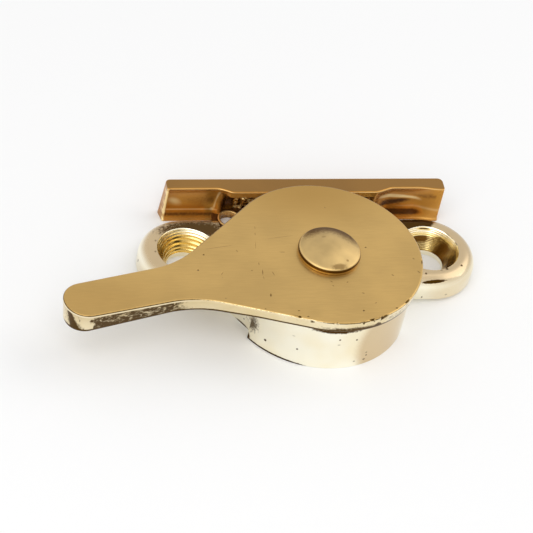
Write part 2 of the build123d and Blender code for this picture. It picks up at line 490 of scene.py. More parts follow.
    def flank(self, plan: np.ndarray, depths: np.ndarray, thick: np.ndarray) -> np.ndarray:
        """Tone of the lever's side: painted dark reflections with cast mottle on the handle, and painted dark
        lines along both edges.

        Each painted mark is a strength times smooth rises and falls along the handle and down the side.
        The bright swirls in the handle's dark reflection are bells about the places where smooth noise
        crosses 0, and noise moves its ends about. The tone is the largest mark, less the painted highlight
        under the top edge.

        Args:
            plan: The skirt's plan points in the handle's frame.
            depths: Their depths.
            thick: The lever's thickness at each of them.

        Returns:
            The tone of each point.
        """
        along, across = plan[..., 0], plan[..., 1]
        bearing = np.degrees(np.arctan2(across, along))
        place = np.stack([along, across, depths], -1)
        share = depths / thick
        side = smooth(depths, *self.side_top)
        slant = along + 0.5 * depths + 0.9 * rough_noise(place * (1.0, 1.0, 0.6), 0.9, 3, 31)
        swirl = bell(value_noise(place * (0.8, 1.0, 1.5), 1.1, 33), 0.10)
        mottle = rough_noise(place * (0.7, 1.0, 1.0), 0.55, 3, 35)
        # Dark reflection painted on the handle's side, mottled like its rough cast surface.
        skin_and_reflection = side * between(slant, self.skin_reflection_from, self.skin_reflection_to) * (
            0.9 - 0.45 * swirl + 0.48 * mottle + 0.35 * smooth(share, 0.6, 1.0))
        slash = 1.5 * bell(across - 1.3 - 0.25 * depths, 0.4 + 0.1 * depths)
        crumbs = 1.4 * np.clip(rough_noise(place * (1.0, 1.0, 0.3), 0.5, 3, 37), 0, 1)
        # Painted dark reflection at the handle's tip.
        streak = side * smooth(along, *self.tip_from) * (
            slash + 0.2 * (1 - smooth(across, 0.8, 1.4)) + crumbs * between(across, (1.6, 2.1), (2.9, 3.3)))
        # Painted dark line along the lower edge.
        low = 1.7 * smooth(depths, thick - 0.56, thick - 0.42) * smooth(across, -1.0, 1.0)
        # Painted dark reflections on the disc's side: olive on its lower front, and a faint band further
        # round.
        front = between(bearing, self.front_from, self.front_to)
        patchy = 0.5 * np.clip(0.4 + rough_noise(place, 0.7, 3, 39), 0, 1) * bell(bearing - 98, 7.0)
        olive = 0.8 * front * smooth(share + 0.1 * value_noise(place, 1.5, 43), 0.3, 0.7) + patchy
        roll = 0.38 * between(bearing, self.roll_from, self.roll_to) * smooth(depths, 0.2, 0.5)
        handle = smooth(along, *self.handle_from)
        # Painted dark reflected lines under the top edge, and a painted highlight below them.
        line = (0.5 + 0.9 * handle + 0.7 * front) * bell(depths - 0.15, 0.05)
        rear = 0.75 * bell(depths - 0.07, 0.05) * smooth(-across, 2.0, 9.0)
        bright = (0.1 + 0.75 * handle) * bell(depths - 0.34, 0.08)
        return np.maximum.reduce([skin_and_reflection, streak, low, line, rear, olive, roll]) - bright

    def add_cam(self, shell: Shell, top: float) -> None:
        """Adds the cam: a wall under the disc, round outside, closing in inside, its lower edges rounded.

        The section runs down inside, under and up outside, and is carried from one end bearing to the
        other.

        Args:
            shell: Where the grids go.
            top: Height of the disc's underside.
        """
        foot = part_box("lever")[0].z / MM
        share = np.linspace(0, 1, self.cam_steps)[:, None]
        bearing = np.radians(self.cam_from + (self.cam_to - self.cam_from) * share)
        inner = self.cam_out_r - self.cam_wall - self.cam_draw * share
        turn = np.linspace(0, np.pi / 2, 6)
        curve = foot + self.cam_edge_r * (1 - np.sin(turn))
        rise = np.concatenate([[top + self.cam_root], curve, curve[::-1], [top + self.cam_root]])
        set_in = np.concatenate([[0], self.cam_edge_r * (1 - np.cos(turn))])
        radii = np.concatenate([inner + set_in, self.cam_out_r - set_in[::-1] + 0 * inner], 1)
        grid = revolved(self.pivot, radii, bearing, rise)
        shell.add(grid)
        shell.add(grid[:, [0, -1]])
        for end in (0, -1):
            shell.close(grid[end])


@dataclass
class PivotRivet:
    """The rivet: a domed head, its shank, and the peened end. Sizes in millimetres."""

    pivot: Span = (0.0, -7.8)
    head_r: float = 5.1
    head_side: float = 1.15
    dome: float = 0.95
    rim_r: float = 0.4
    seat_gap: float = 0.08
    shank_r: float = 3.0
    peen_r: float = 4.2
    peen_height: float = 0.8
    head_shift: float = 0.4
    dent: float = 0.03
    side_band: tuple[Span, Span] = ((0.36, 0.46), (0.84, 0.96))
    ring_to: Span = (0.28, 0.4)
    far_bearing: float = 80.0
    steps: int = 160
    dome_steps: int = 26
    rim_steps: int = 8
    end_steps: int = 12

    def profile(self, foot: float, seat: float) -> np.ndarray:
        """The section from the top of the dome to the middle of the peened end.

        The dome is a circle's arc: its radius is half of the squared head radius over the dome's height,
        plus half of that height. The rim is a quarter round, and the peened end is an arc like the dome.

        Args:
            foot: Height of the peened end's lowest point.
            seat: Height of the disc's top.

        Returns:
            Radii and heights.
        """
        side_top = seat + self.head_side
        reach = self.head_r - self.rim_r
        ball = reach ** 2 / (2 * self.dome) + self.dome / 2
        out = np.linspace(0, reach, self.dome_steps)
        dome = side_top + self.dome - ball + np.sqrt(ball ** 2 - out ** 2)
        tilt = np.arcsin(reach / ball)
        turn = np.linspace(tilt, np.pi / 2, self.rim_steps)[1:]
        rim = np.stack([reach + self.rim_r * (np.sin(turn) - np.sin(tilt)) / (1 - np.sin(tilt)),
                        side_top - self.rim_r * (np.cos(tilt) - np.cos(turn)) / (1 - np.sin(tilt))], -1)
        side = np.linspace(rim[-1, 1], seat + self.seat_gap, self.end_steps)[1:]
        rim = np.vstack([rim, np.stack([np.full(side.size, self.head_r), side], -1)])
        peen_top = foot + self.peen_height
        inward = np.linspace(self.peen_r, 0, self.end_steps)
        end_ball = self.peen_r ** 2 / (2 * self.peen_height) + self.peen_height / 2
        end = foot + end_ball - np.sqrt(end_ball ** 2 - inward ** 2)
        steps = np.array([(self.head_r - self.seat_gap, seat), (self.shank_r, seat), (self.shank_r, peen_top),
                          (self.peen_r, peen_top)])
        return np.vstack([np.stack([out, dome], -1), rim, steps, np.stack([inward, end], -1)[1:]])

    def tone(self, radii: np.ndarray, lift: np.ndarray, angles: np.ndarray) -> np.ndarray:
        """Painted light of the rivet: painted shadow on the side, between a painted highlight along its top
        edge and a ring at the seat, and painted shade on the dome towards its far rim.

        The ring is a painted golden highlight at the left and painted olive shadow elsewhere.

        Args:
            radii: Distances from the axis.
            lift: Heights above the seat.
            angles: Bearings round the axis.

        Returns:
            The tone of each point.
        """
        # Painted shadow on the side under the head's rim.
        side = 1.3 * between(lift, *self.side_band)
        golden = smooth(-np.cos(angles), 0.5, 0.9)
        # Ring at the seat: painted highlight at the left, painted shadow elsewhere.
        ring = (0.4 - 0.8 * golden) * (1 - smooth(lift, *self.ring_to)) * (lift > 0)
        # Painted highlight along the top edge of the side.
        edge = -0.5 * bell(lift - 1.04, 0.07)
        # Painted shade on the dome, growing towards its far rim.
        away = smooth(np.cos(angles - np.radians(self.far_bearing)), -0.2, 0.9)
        return side + ring + edge + 0.9 * smooth(radii, 1.2, 4.9) * away * (lift > 1.0)

    def build(self, materials: Materials) -> None:
        """Turns the section round the pivot, with slight dents in the dome, its head a little off centre.

        Args:
            materials: Finishes by node name.
        """
        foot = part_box("pivot_rivet")[0].z / MM
        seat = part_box("lever")[1].z / MM
        radii, heights = self.profile(foot, seat).T
        angles = np.linspace(0, 2 * np.pi, self.steps, endpoint=False)[:, None]
        grid = revolved(self.pivot, radii, angles, heights)
        above = smooth(grid[..., 2], seat + 0.2, seat + self.head_side)
        grid[..., 2] -= above * self.dent * (1 + value_noise(grid, 2.0, 3))
        head = np.arange(radii.size) <= np.flatnonzero(heights <= seat)[0]
        grid[..., 0] += self.head_shift * head
        shell = Shell("rivet_turned")
        shell.add(grid, (True, False), painted_light_and_wear=self.tone(radii, heights - seat, angles))
        shell.make("fixed", materials["pivot_rivet"], "rivet_brass", "pivot_rivet")


@dataclass
class Keep:
    """The keep casting: a coved wall with a hood, its foot plate with two holes, and the hook. Millimetres.

    Along is measured from the keep's middle, and front is the height y of the front face.
    """

    pivot: Span = (0.0, -7.8)
    shift: float = 1.3
    half: float = 23.8
    height: float = 7.0
    back_y: float = 13.95
    end_front: float = 11.5
    hood_front: float = 10.6
    hood_half: float = 12.0
    curve_len: float = 3.2
    corner_r: float = 0.8
    front_corner_r: float = 0.25
    edge_r: float = 0.25
    end_lean: float = 0.45
    end_swell: float = 0.4
    foot_swell: float = 0.25
    cove_in: float = 14.8
    cove_out: float = 23.45
    cove_low: float = 0.7
    cove_high: float = 6.9
    cove_depth: float = 1.0
    cove_power: float = 2.2
    hollow_left: float = 14.3
    hollow_half: float = 11.8
    hollow_top: float = 5.8
    hollow_y: float = 12.9
    cutter_pitch: float = 0.42
    cutter_depth: float = 0.05
    plate_front: float = 8.5
    plate_thick: float = 1.2
    plate_half: float = 15.0
    plate_corner_r: float = 1.5
    hole_y: float = 10.4
    hole_along: float = 12.2
    hole_r: float = 1.6
    bead_r: float = 0.2
    hook_half: float = 3.4
    hook_in_r: float = 10.99
    hook_out_r: float = 12.49
    hook_top: float = 8.2
    hook_edge_r: float = 0.3
    arm_top: float = 3.0
    arm_lap: float = 0.3
    arm_back: float = 0.5
    # Painted highlight along the top front edge, and painted shade on both end faces.
    edge_highlight: float = -0.8
    end_shade: float = 0.52
    plate_tone: float = 0.85
    bead_tone: float = -0.35
    columns: int = 420
    rows: int = 74
    flat_steps: int = 14
    rays: int = 180
    bead_steps: int = 9
    plate_steps: int = 12
    hook_steps: int = 26

    def front(self, along: np.ndarray, height: np.ndarray) -> np.ndarray:
        """Height y of the front face over the plane of length and height.

        The wall's plane steps forward to the hood by a smooth step, and swells a little at its foot and
        right end. Each cove goes back by its depth times one less a power of the distance from its
        middle line, and fades at its two ends, the right one softly. Under the hood the face goes back
        to the hollow's wall, smooth at its left end and rough as cast beyond, with a few cutter marks
        under the hood's left end.

        Args:
            along: Distances from the keep's middle.
            height: Heights.

        Returns:
            The y of each point.
        """
        step = smooth(np.abs(along), self.hood_half, self.hood_half + self.curve_len)
        face = self.hood_front + (self.end_front - self.hood_front) * step
        face = face - self.end_swell * smooth(along, self.half - 4.5, self.half - 0.4)
        face = face - self.foot_swell * (1 - smooth(height, 0.15, 0.6))
        middle = (self.cove_low + self.cove_high) / 2
        rise = np.clip(np.abs(height - middle) / (self.cove_high - middle), 0, 1)
        left = between(-along, (self.cove_in - 2.2, self.cove_in - 1.2), (self.cove_out - 0.3, self.cove_out))
        right = between(along, (self.hollow_half - 0.2, self.hollow_half + 1.4),
                        (self.cove_out - 4.6, self.cove_out + 0.3))
        face = face + self.cove_depth * (1 - rise ** self.cove_power) * (left + right)
        low = 1 - smooth(height, self.hollow_top - 0.5, self.hollow_top)
        room = low * between(along, (0.7 - self.cove_in, 2.1 - self.cove_in),
                             (self.hollow_half - 0.45, self.hollow_half))
        inside = along + self.hollow_left
        place = np.stack([along, face, height], -1)
        cast = (0.03 + 0.42 * smooth(inside, 2.6, 3.4)) * rough_noise(place, 1.1, 4, 11)
        marks = self.cutter_depth * np.sin(2 * np.pi * along / self.cutter_pitch) * smooth(
            height, 4.3, 4.7) * (1 - smooth(inside, 2.2, 3.0))
        return face + (self.hollow_y + cast + marks - face) * room

    def left_cove(self, along: np.ndarray, height: np.ndarray) -> np.ndarray:
        """Painted reflections and shade in the left cove: a dark band at the foot, a bright line and a gleam,
        dark clouds, and a painted shadow line under the top.

        Each is a bell about its height, and the gleam is one about a slanting oval.

        Args:
            along: Distances from the keep's middle.
            height: Heights.

        Returns:
            The tone of each point.
        """
        place = np.stack([along, 0 * along, height], -1)
        foot = 0.62 * bell(height - 1.1, 0.36)
        line = -0.65 * bell(height - 1.85, 0.12)
        gleam = -bell(np.hypot((along + 21.7) / 1.3, (height - 3.5 + 0.25 * (along + 22)) / 0.7), 1.0)
        under = bell(height - 6.6, 0.10) * (1.5 * smooth(-along, 19.5, 21.0) - 0.6)
        cloud = 0.30 * bell(height - 3.6, 1.2) * np.clip(1 + 0.7 * value_noise(place, 2.6, 41), 0, 2)
        tone = foot + line + gleam + under + cloud + self.lip(height)
        return tone * smooth(-along, self.cove_in - 1.0, self.cove_in - 0.3)

    def right_cove(self, along: np.ndarray, height: np.ndarray) -> np.ndarray:
        """Painted reflections and shade in the right cove: a dark band at the foot, a faint bright line, a
        shade that climbs outwards, and a gleam.

        Each is a bell about its height, which for the gleam falls along the cove.

        Args:
            along: Distances from the keep's middle.
            height: Heights.

        Returns:
            The tone of each point.
        """
        foot = 1.2 * bell(height - 1.3, 0.5) * (1 - smooth(along, 19.2, 21.8))
        line = -0.35 * bell(height - 2.25, 0.25)
        climb = 2.85 + 2.4 * smooth(along, 14.0, 24.0)
        fade = 1 - 0.45 * smooth(along, 17.5, 20.5) - 0.55 * smooth(along, 22.4, 23.3)
        shade = 0.85 * bell(height - climb, 0.8) * fade
        gleam = -1.9 * bell(height - 5.95 + 0.102 * along, 0.34) * (1 - smooth(along, 18.9, 21.2))
        tone = foot + line + shade + gleam + self.lip(height)
        return tone * smooth(along, self.cove_in - 2.2, self.cove_in - 0.6)

    def lip(self, height: np.ndarray) -> np.ndarray:
        """Faint painted highlight along the foot."""
        return -0.12 * bell(height - 0.35, 0.25)

    def rib(self, along: np.ndarray, height: np.ndarray) -> np.ndarray:
        """Painted highlight of the rib at the left cove's inner end: a leaning bright line with a dot at its
        foot.

        Args:
            along: Distances from the keep's middle.
            height: Heights.

        Returns:
            The tone of each point.
        """
        past = along + self.cove_in
        line = bell(past - 0.25 - 0.12 * (height - 3.5), 0.18) * between(height, (1.8, 2.4), (5.6, 6.3))
        return -line - bell(np.hypot(past + 0.25, height - 1.9), 0.26)

    def hollow(self, along: np.ndarray, height: np.ndarray) -> np.ndarray:
        """Tone of the hollow: painted shade at its smooth left end, and dark crumbs on the rough cast surface
        beyond.

        Args:
            along: Distances from the keep's middle.
            height: Heights.

        Returns:
            The tone of each point.
        """
        place = np.stack([along, 0 * along, height], -1)
        room = between(along, (0.5 - self.cove_in, 1.6 - self.cove_in),
                       (self.hollow_half - 0.3, self.hollow_half + 0.2))
        crumbs = smooth(along + self.hollow_left, 2.8, 3.3)
        dark = 0.95 * (1 - crumbs) * bell(height - 2.8, 1.9)
        cast = crumbs * (0.25 + 2.4 * rough_noise(place, 0.55, 3, 4))
        return (dark + cast) * room * (1 - smooth(height, 5.5, 6.0))

    def painted_light_and_crumbs(self, along: np.ndarray, height: np.ndarray) -> np.ndarray:
        """Tone of the front: painted reflections and shade in both coves, a painted highlight on the rib,
        painted shade and dark crumbs in the hollow, and a bright line at the left end's edge.

        Args:
            along: Distances from the keep's middle.
            height: Heights.

        Returns:
            The tone of each point, from -1 for bright to 1 for dark.
        """
        edge = -smooth(-along, self.half - 0.4, self.half - 0.2)
        coves = self.left_cove(along, height) + self.right_cove(along, height)
        return np.clip(coves + self.rib(along, height) + self.hollow(along, height) + edge, -1, 1)

    def wall(self, shell: Shell) -> None:
        """Adds the wall: a loop round its section, carried along its length, and closed at both ends.

        The loop goes up the front, over a quarter round to the top, back over another, and down the back.
        Near each end both faces draw in by the corner's radius less the root of its square less the
        square of the distance past the corner's start. The left end leans out towards its back's foot.
        A strip between front and back closes each end, and a second one goes on below the top's flat.

        Args:
            shell: Where the grids go.
        """
        span = np.linspace(-self.half, self.half, self.columns)
        curve = np.sin(np.linspace(0, np.pi / 2, 9))
        ends = np.concatenate([self.half - r * (1 - curve) for r in (self.corner_r, self.front_corner_r)])
        along = np.unique(np.concatenate([span, ends, -ends]).round(4))
        rounds = np.array([self.front_corner_r, self.corner_r])[:, None]
        past = np.clip(np.abs(along) - (self.half - rounds), 0, rounds)
        draw_front, draw_back = rounds - np.sqrt(rounds ** 2 - past ** 2)
        levels = np.linspace(0, self.height - self.edge_r, self.rows)
        grid_x, grid_z = np.meshgrid(along, levels, indexing="ij")
        front = self.front(grid_x, grid_z) + draw_front[:, None]
        back = self.back_y - draw_back[:, None]
        turn = np.linspace(0, np.pi / 2, 7)[1:]
        over = front[:, -1:] + self.edge_r * (1 - np.cos(turn))
        lift = self.height - self.edge_r * (1 - np.sin(turn))
        down = back - self.edge_r * (1 - np.cos(turn[::-1]))
        share = np.linspace(0, 1, self.flat_steps)[1:-1]
        flat = over[:, -1:] + (down[:, :1] - over[:, -1:]) * share
        loop_y = np.concatenate([front, over, flat, down, back + 0 * levels], 1)
        loop_z = np.concatenate([levels, lift, np.full(share.size, self.height), lift[::-1], levels[::-1]])
        grid = np.stack(np.broadcast_arrays(along[:, None] + self.shift, loop_y, loop_z), -1)
        lean = self.end_lean * smooth(-along, self.cove_in, self.half)[:, None]
        depth = np.clip((grid[..., 1] - self.end_front) / (self.back_y - self.end_front), 0, 1)
        grid[..., 0] += lean * (1 - depth * (1 - grid[..., 2] / self.height))
        painted_light_and_wear = np.zeros(loop_y.shape)
        # The front takes painted reflections, highlights and shade.
        painted_light_and_wear[:, :self.rows] = self.painted_light_and_crumbs(grid_x, grid_z)
        # Painted highlight along the top front edge.
        painted_light_and_wear[:, self.rows + 1] = self.edge_highlight
        shell.add(grid, (False, True), painted_light_and_wear=painted_light_and_wear)
        side = self.rows + turn.size
        # Both end faces take painted shade.
        for end in (0, -1):
            shell.close(grid[end], self.end_shade, side)
            shell.close(grid[end][side - 1:1 - side], self.end_shade)

    def plate(self, shell: Shell) -> None:
        """Adds the foot plate: round each hole a fan of lines from the hole's rim to the half plate's edge.

        A point of the edge lies where the bearing from the hole meets a box with rounded outer corners.
        Each fan's rings go up the hole, over its bead, out to the edge, down, and back to the hole.

        Args:
            shell: Where the grids go.
        """
        bearing = np.linspace(0, 2 * np.pi, self.rays, endpoint=False)
        ray = np.stack([np.cos(bearing), np.sin(bearing)], -1)
        turn = np.linspace(np.pi, 0, self.bead_steps)
        shares = np.linspace(0, 1, self.plate_steps)[1:]
        hole_wall = ray * self.hole_r
        beads = [ray * r for r in self.hole_r + self.bead_r * (1 + np.cos(turn))]
        heights = np.array([0, *(self.plate_thick + self.bead_r * np.sin(turn)),
                            *np.full(shares.size, self.plate_thick), 0, 0])
        for side in (-1, 1):
            hole = np.array([self.shift + side * self.hole_along, self.hole_y])
            low = np.array([min(0, side * self.plate_half) + self.shift, self.plate_front]) - hole
            high = np.array([max(0, side * self.plate_half) + self.shift, self.back_y - 0.05]) - hole
            clear = np.where(np.abs(ray) < 1e-9, 1e-9, np.abs(ray))
            reach = np.min(np.abs(np.where(ray > 0, high, low)) / clear, axis=1)
            edge = self.round_outer(ray * reach[:, None], low, high, side)
            fan = [beads[-1] + (edge - beads[-1]) * share for share in shares]
            plan = np.stack([hole_wall, *beads, *fan, edge, hole_wall]) + hole
            level = np.broadcast_to(heights[:, None, None], (*plan.shape[:2], 1))
            painted_light_and_wear = np.full(plan.shape[:2], self.plate_tone)
            painted_light_and_wear[:self.bead_steps] = self.bead_tone
            shell.add(np.concatenate([plan, level], -1), (False, True), painted_light_and_wear=painted_light_and_wear)

    def round_outer(self, edge: np.ndarray, low: np.ndarray, high: np.ndarray, side: int) -> np.ndarray:
        """Pulls the edge's points near the plate's two outer corners on to a round corner.

        Args:
            edge: Points on the box's edge, from the hole.
            low: The box's low corner.
            high: The box's high corner.
            side: Which end of the plate the outer corners are at.

        Returns:
            The rounded edge.
        """
        radius = self.plate_corner_r
        outer = high[0] if side > 0 else low[0]
        centre_x = outer - side * radius
        rounded = edge.copy()
        for corner_y, sense in ((low[1], 1), (high[1], -1)):
            centre = np.array([centre_x, corner_y + sense * radius])
            offset = edge - centre
            beyond = (offset[:, 0] * side > 0) & (offset[:, 1] * sense < 0)
            distance = np.linalg.norm(offset, axis=1, keepdims=True)
            pulled = centre + offset * radius / np.maximum(distance, 1e-6)
            rounded = np.where((beyond[:, None]) & (distance > radius), pulled, rounded)
        return rounded

    def hook(self, shell: Shell) -> None:
        """Adds the arm and its upturned end, both between arcs round the pivot and two straight flanks.

        A point's plan place is its x, and a y of the root of the arc's squared radius less x squared.

        Args:
            shell: Where the grids go.
        """
        across = np.linspace(-self.hook_half, self.hook_half, self.hook_steps)[:, None]
        turn = np.linspace(0, np.pi / 2, 6)
        inset = self.hook_edge_r * (1 - np.cos(turn))
        arm_out_r = self.back_y - self.pivot[1] - self.arm_back
        for inner, outer, top in ((self.hook_in_r, self.hook_out_r, self.hook_top),
                                  (self.hook_out_r - self.arm_lap, arm_out_r, self.arm_top)):
            near = np.sqrt(inner ** 2 - across ** 2) + self.pivot[1]
            far = np.sqrt(outer ** 2 - across ** 2) + self.pivot[1]
            rise = top - self.hook_edge_r * (1 - np.sin(turn))
            loop_y = np.concatenate([near, near + inset, far - inset[::-1], far], 1)
            loop_z = np.concatenate([[0], rise, rise[::-1], [0]])
            grid = np.stack(np.broadcast_arrays(across, loop_y, loop_z), -1)
            shell.add(grid, (False, True))
            for end in (0, -1):
                shell.close(grid[end])

    def build(self, materials: Materials) -> None:
        """Builds the casting as one piece.

        Args:
            materials: Finishes by node name.
        """
        shell = Shell("keep_casting")
        self.wall(shell)
        self.plate(shell)
        self.hook(shell)
        shell.make("fixed", materials["keep"], "dark_brass", "keep")


@dataclass
class Countersinks:
    """The turned seats of the two screw holes: steps that the cutter left. Sizes in millimetres.

    The left seat has broad golden steps, and the right one fine lines and a brown stain with painted
    shade on its right side. Both seats have a painted highlight on the lip at the back.
    """

    spacing: float = 40.4
    top_z: float = 4.4
    top_r: float = 5.15
    hole_r: float = 3.1
    depth: float = 3.5
    inset: float = 0.05
    wall: float = 0.2
    wall_drop: float = 0.25
    wobble: float = 0.004
    tooth_power: float = 1.6
    pitches: Span = (0.50, 0.26)
    heights: Span = (0.06, 0.025)
    steps: int = 240
    levels: int = 140
    wall_every: int = 12

    def left_tone(self, drop: np.ndarray, saw: np.ndarray, angles: np.ndarray) -> np.ndarray:
        """Tone of the left seat: dark grooves and a few stains, and a painted highlight on the lip at the
        back.

        Args:
            drop: Depths below the lug's top.
            saw: The steps' section, from 0 to 1.
            angles: Bearings round the hole.

        Returns:
            The tone of each point.
        """
        # Painted highlight on the lip at the back.
        lip = (1 - smooth(drop, 0.7, 1.1)) * smooth(np.sin(angles + 0.35), 0.2, 0.8)
        stain = 0.2 * np.clip(self.noise(drop, angles, 20), 0, 1) * smooth(drop, 1.0, 1.5)
        return 0.4 * smooth(saw, 0.6, 0.95) + stain - lip

    def right_tone(self, drop: np.ndarray, saw: np.ndarray, angles: np.ndarray) -> np.ndarray:
        """Tone of the right seat: faint grooves, a brown stain with painted shade on the seat's right side,
        a slot and an olive mark, and a painted highlight on the lip.

        The slot and the mark are bells about a depth, times bells of the fourth power about a bearing.

        Args:
            drop: Depths below the lug's top.
            saw: The steps' section, from 0 to 1.
            angles: Bearings round the hole.

        Returns:
            The tone of each point.
        """
        # Painted highlight on the lip at the back.
        lip = 0.9 * (1 - smooth(drop, 0.75, 1.0)) * smooth(np.sin(angles), -0.1, 0.6)
        slot = 2.6 * bell(drop - 0.3, 0.13) * bell(angles - 1.47, 0.22, 4)
        olive = 1.1 * bell(drop - 1.75, 0.35) * bell(angles - 1.62, 0.26, 4)
        # Painted shade on the cone's right side, added to the brown stain.
        near = smooth(np.cos(angles - 0.1), 0.5, 0.9)
        noise = self.noise(drop, angles, 22)
        brown = (0.48 + 0.25 * noise + 0.25 * near) * smooth(drop + 0.8 * near, 1.1, 1.5)
        return 0.3 * smooth(saw, 0.5, 0.95) + brown + slot + olive - lip

    def noise(self, drop: np.ndarray, angles: np.ndarray, seed: int) -> np.ndarray:
        """Smooth noise round a seat, stretched down it."""
        return value_noise(revolved((0.0, 0.0), 3 + 0 * drop, angles, 1.5 * drop), 1.3, seed)

    def build(self, materials: Materials) -> None:
        """Turns the stepped cone round each screw's axis.

        The radius falls evenly with the depth, less a saw of the step's height, whose teeth vary a
        little. Behind the cone its section goes back up as a plain thin wall.

        Args:
            materials: Finishes by node name.
        """
        shell = Shell("countersink_rings")
        drop = np.linspace(0, self.depth, self.levels)
        cone = self.top_r - (self.top_r - self.hole_r) * drop / self.depth
        fade = between(drop, (0, 0.25), (self.depth - 0.2, self.depth))
        back_r = (cone + self.wall)[::-self.wall_every]
        back_z = (self.top_z - self.wall_drop - 0.9 * drop)[::-self.wall_every]
        angles = np.linspace(0, 2 * np.pi, self.steps, endpoint=False)[:, None]
        for side, pitch, height, tone in zip((-1, 1), self.pitches, self.heights,
                                             (self.left_tone, self.right_tone)):
            phase = drop / pitch + 0.25 * np.sin(2.1 * drop + side)
            saw = np.abs(2 * (phase % 1) - 1) ** self.tooth_power * fade
            front_r = cone - self.inset * smooth(drop, 0, 0.2) - height * saw
            radii = np.concatenate([front_r, back_r]) * (1 + self.wobble * np.sin(3 * angles + side))
            rise = np.concatenate([self.top_z - 0.01 - drop, back_z])
            grid = revolved((side * self.spacing / 2, 0.0), radii, angles, rise)
            painted_light_and_wear = np.zeros(radii.shape)
            painted_light_and_wear[:, :self.levels] = tone(drop, saw, angles)
            shell.add(grid, (True, True), painted_light_and_wear=painted_light_and_wear)
        shell.make("fixed", materials["countersinks"], "bright_brass")


class Lay(Enum):
    """Direction of the fine lines that finishing leaves in the metal."""

    NONE = (1.0, 1.0, 1.0)
    ALONG_X = (0.03, 0.5, 0.5)


@dataclass
class NodeDesk:
    """Places and joins the shader nodes of one tree."""

    tree: bpy.types.NodeTree

    def add(self, kind: str, settings: dict | None = None, **inputs: object) -> bpy.types.Node:
        """Adds a node, sets its properties, and fills or links its inputs.

        Args:
            kind: Blender's type name of the node.
            settings: Values of the node's own properties.
            inputs: Values or output sockets by input name, with _ for a space.

        Returns:
            The new node.
        """
        node = self.tree.nodes.new(kind)
        for name, value in (settings or {}).items():
            setattr(node, name, value)
        for name, value in inputs.items():
            key = int(name[1:]) if name[0] == "i" and name[1:].isdigit() else name.replace("_", " ")
            socket = node.inputs[key]
            if isinstance(value, bpy.types.NodeSocket):
                self.tree.links.new(value, socket)
            else:
                socket.default_value = value
        return node

    def math(self, operation: str, first: object, second: object = 0.0,
             clamp: bool = False) -> bpy.types.NodeSocket:
        """Adds a Math node and returns its output.

        Args:
            operation: Name of the operation.
            first: First value or socket.
            second: Second value or socket.
            clamp: Whether the result is held between 0 and 1.

        Returns:
            The node's output socket.
        """
        settings = {"operation": operation, "use_clamp": clamp}
        return self.add("ShaderNodeMath", settings, i0=first, i1=second).outputs[0]

    def plus(self, first: object, second: object) -> bpy.types.NodeSocket:
        """The first value or socket plus the second."""
        return self.math("ADD", first, second)

    def minus(self, first: object, second: object) -> bpy.types.NodeSocket:
        """The first value or socket less the second."""
        return self.math("SUBTRACT", first, second)

    def times(self, first: object, second: object) -> bpy.types.NodeSocket:
        """The first value or socket times the second."""
        return self.math("MULTIPLY", first, second)

    def larger(self, first: object, second: object) -> bpy.types.NodeSocket:
        """The larger of two values or sockets."""
        return self.math("MAXIMUM", first, second)

    def noise(self, place: bpy.types.NodeSocket, scale: float, detail: float,
              roughness: float = 0.5) -> bpy.types.NodeSocket:
        """Adds smooth noise and returns its value, which is about 0.5.

        Args:
            place: Coordinates.
            scale: Waves to a unit of the coordinates.
            detail: Finer octaves.
            roughness: Strength of each octave over the one before.

        Returns:
            The node's output socket.
        """
        return self.add("ShaderNodeTexNoise", Vector=place, Scale=scale, Detail=detail,
                        Roughness=roughness).outputs["Fac"]

    def ramp(self, value: object, low: float, high: float) -> bpy.types.NodeSocket:
        """Maps a value smoothly to 0 at low and 1 at high.

        Args:
            value: Socket that is mapped.
            low: Value that gives 0.
            high: Value that gives 1.

        Returns:
            The mapped socket.
        """
        return self.add("ShaderNodeMapRange", {"interpolation_type": "SMOOTHSTEP"},
                        Value=value, From_Min=low, From_Max=high).outputs[0]

    def blend(self, share: object, first: object, second: object) -> bpy.types.NodeSocket:
        """Mixes two colours.

        Args:
            share: Share of the second colour.
            first: First colour or socket.
            second: Second colour or socket.

        Returns:
            The mixed colour's socket.
        """
        node = self.add("ShaderNodeMix", {"data_type": "RGBA"})
        for key, value in ((0, share), (6, first), (7, second)):
            if isinstance(value, bpy.types.NodeSocket):
                self.tree.links.new(value, node.inputs[key])
            else:
                node.inputs[key].default_value = value
        return node.outputs[2]


def new_material(name: str) -> tuple[bpy.types.Material, NodeDesk]:
    """Makes a material with an empty node tree.

    Args:
        name: The material's name.

    Returns:
        The material, and the desk of its node tree.
    """
    material = bpy.data.materials.new(name)
    material.use_nodes = True
    material.node_tree.nodes.clear()
    return material, NodeDesk(material.node_tree)


@dataclass(frozen=True)
class Patch:
    """A stain, pit, scratch, or patch of painted shade: an ellipsoid in the part's own millimetres.

    Its share is its strength inside the core, a share of the reach, and falls smoothly to 0 at its
    surface, which noise makes ragged. The turn is about Z, in degrees.
    """

    middle: Triple
    reach: Triple
    turn: float = 0.0
    strength: float = 1.0
    ragged: float = 0.5
    core: float = 0.45


